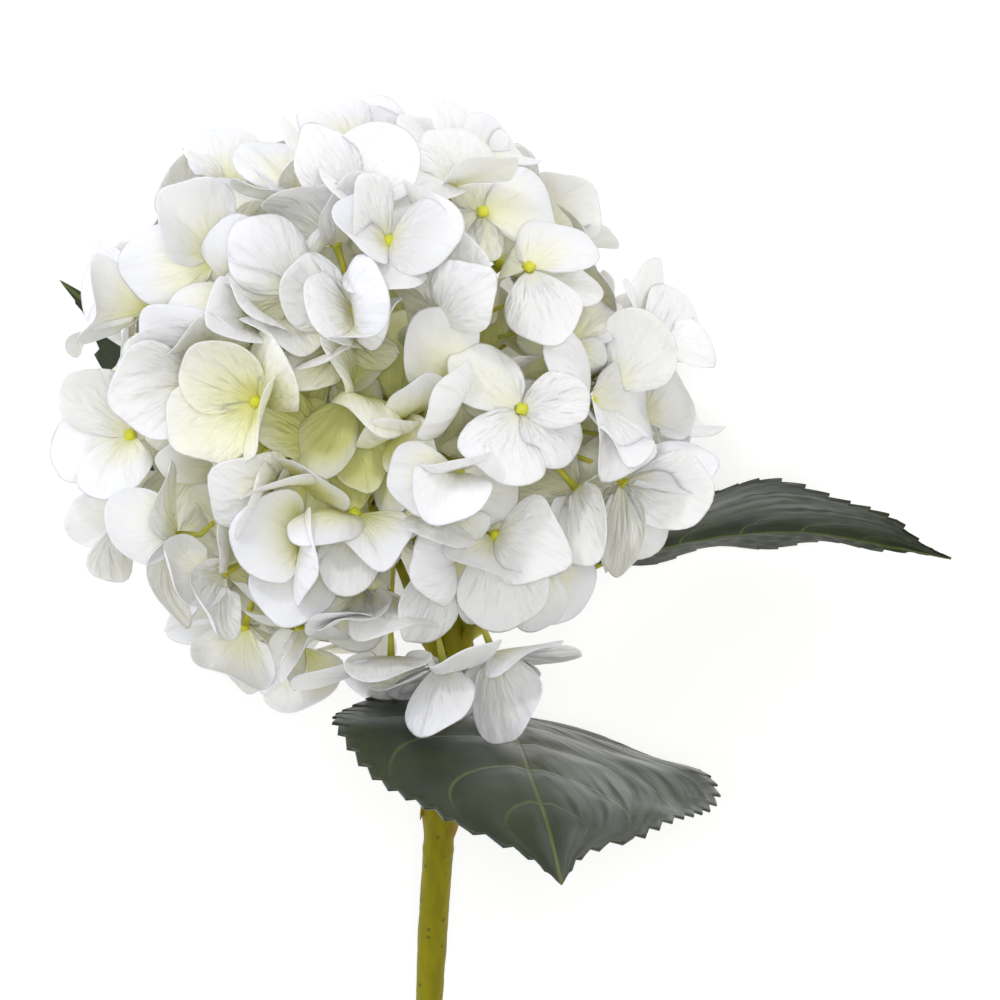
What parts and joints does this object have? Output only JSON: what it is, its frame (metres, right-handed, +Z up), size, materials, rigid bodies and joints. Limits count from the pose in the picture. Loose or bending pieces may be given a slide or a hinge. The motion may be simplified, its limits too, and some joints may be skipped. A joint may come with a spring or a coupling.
{
  "type": "cut hydrangea",
  "caption": "White mophead hydrangea cut with its woody stem and serrated green leaves, lying on its back.",
  "frame": {"origin": "centre of the lying flower's bounding box, on the surface that it lies on", "axes": "+Y along the stem from its cut end towards the flower head, +Z up from the surface, +X to the right when seen from above with the head away from the viewer"},
  "size_m": [0.2602, 0.3858, 0.1812],
  "materials": {
    "sepals": "thin matte white sepals, cream to yellow-green towards their middle",
    "floret_centres": "small matte yellow beads",
    "stalks": "matte yellow-green stalks",
    "leaf_blade": "satin dark green with pale veins",
    "woody_stem": "satin olive green bark with brown scars"
  },
  "bodies": {
    "root": {"stem": "woody_stem", "leaf_front": "leaf_blade", "leaf_right": "leaf_blade", "leaf_left": "leaf_blade", "spray_01": "sepals", "spray_02": "sepals", "spray_03": "sepals", "spray_04": "sepals", "spray_05": "sepals", "spray_06": "sepals", "spray_07": "sepals", "spray_08": "sepals", "spray_09": "sepals", "spray_10": "sepals", "spray_11": "sepals", "spray_12": "sepals", "spray_13": "sepals", "spray_14": "sepals"}
  },
  "joints": []
}
